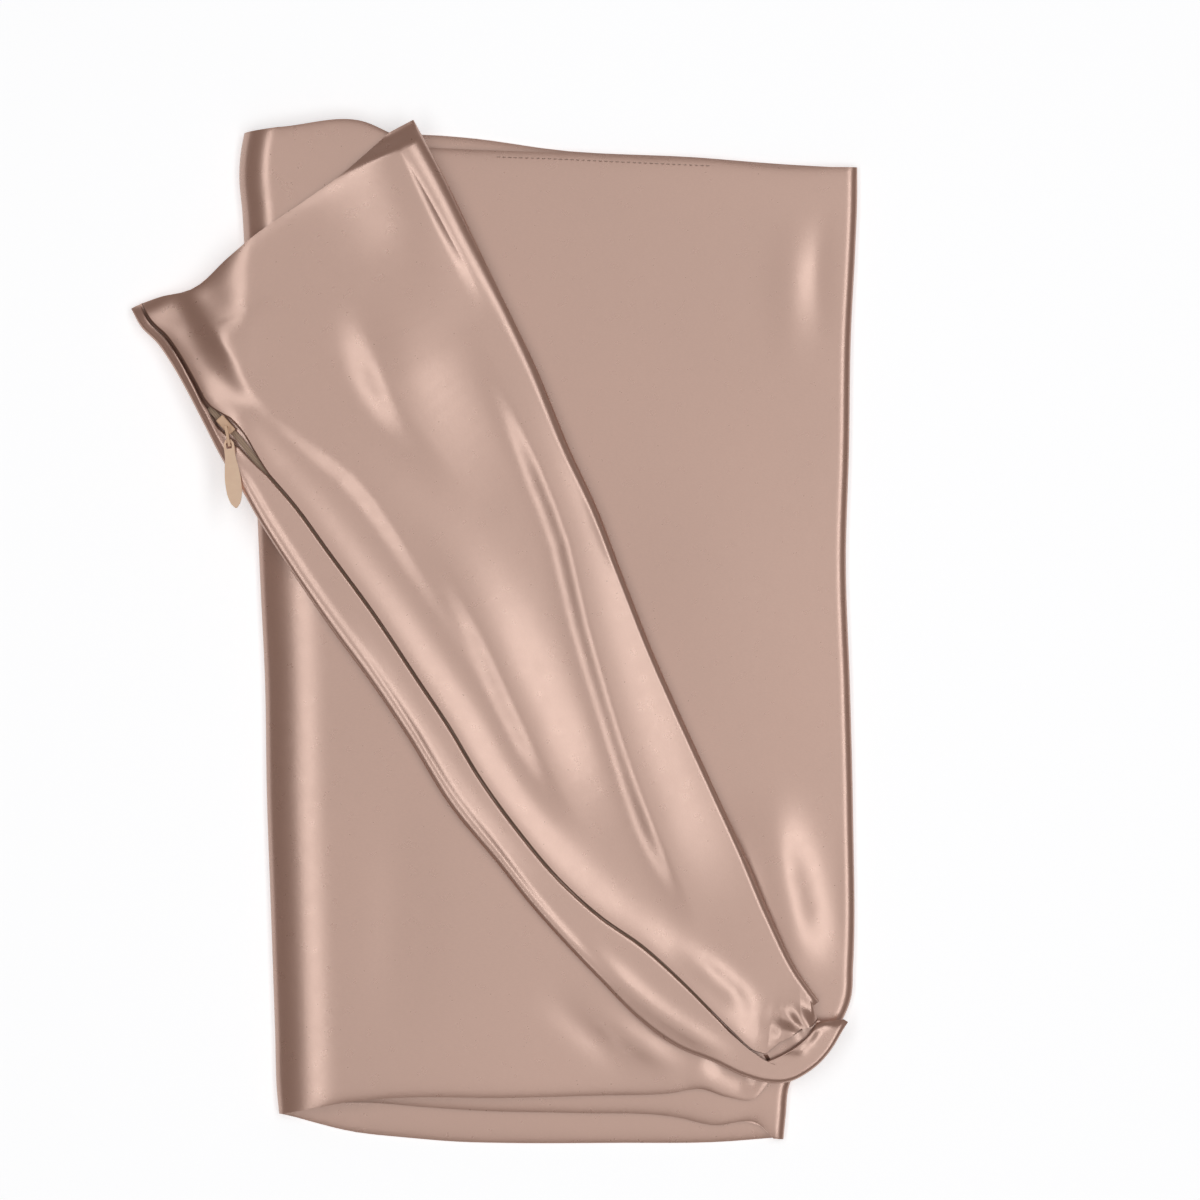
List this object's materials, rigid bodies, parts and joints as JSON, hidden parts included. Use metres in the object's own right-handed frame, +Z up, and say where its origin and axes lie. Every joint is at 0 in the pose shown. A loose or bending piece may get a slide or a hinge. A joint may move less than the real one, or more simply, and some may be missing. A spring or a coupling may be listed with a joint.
{
  "type": "pillowcase",
  "caption": "Flat satin pillowcase folded in three with its zipped end turned back on a slant and one corner gathered, closed by a concealed zip with a teardrop pull.",
  "frame": {"origin": "centre of the footprint, on the surface the folded case lies on", "axes": "+X across the packet, from its left fold to its right fold; +Y along the packet, towards its top side seam; +Z up, away from the surface"},
  "size_m": [0.3549, 0.4982, 0.0256],
  "materials": {
    "satin_front": "satin",
    "satin_back": "satin",
    "zip_tape_front": "matte",
    "zip_tape_back": "matte",
    "zip_coil": "matte",
    "zip_slider": "satin",
    "zip_pull": "satin"
  },
  "bodies": {
    "root": {"front_panel": "satin_front", "back_panel": "satin_back", "zip_tape_front": "zip_tape_front", "zip_tape_back": "zip_tape_back", "zip_coil": "zip_coil", "zip_slider": "zip_slider", "zip_pull": "zip_pull"}
  },
  "joints": []
}
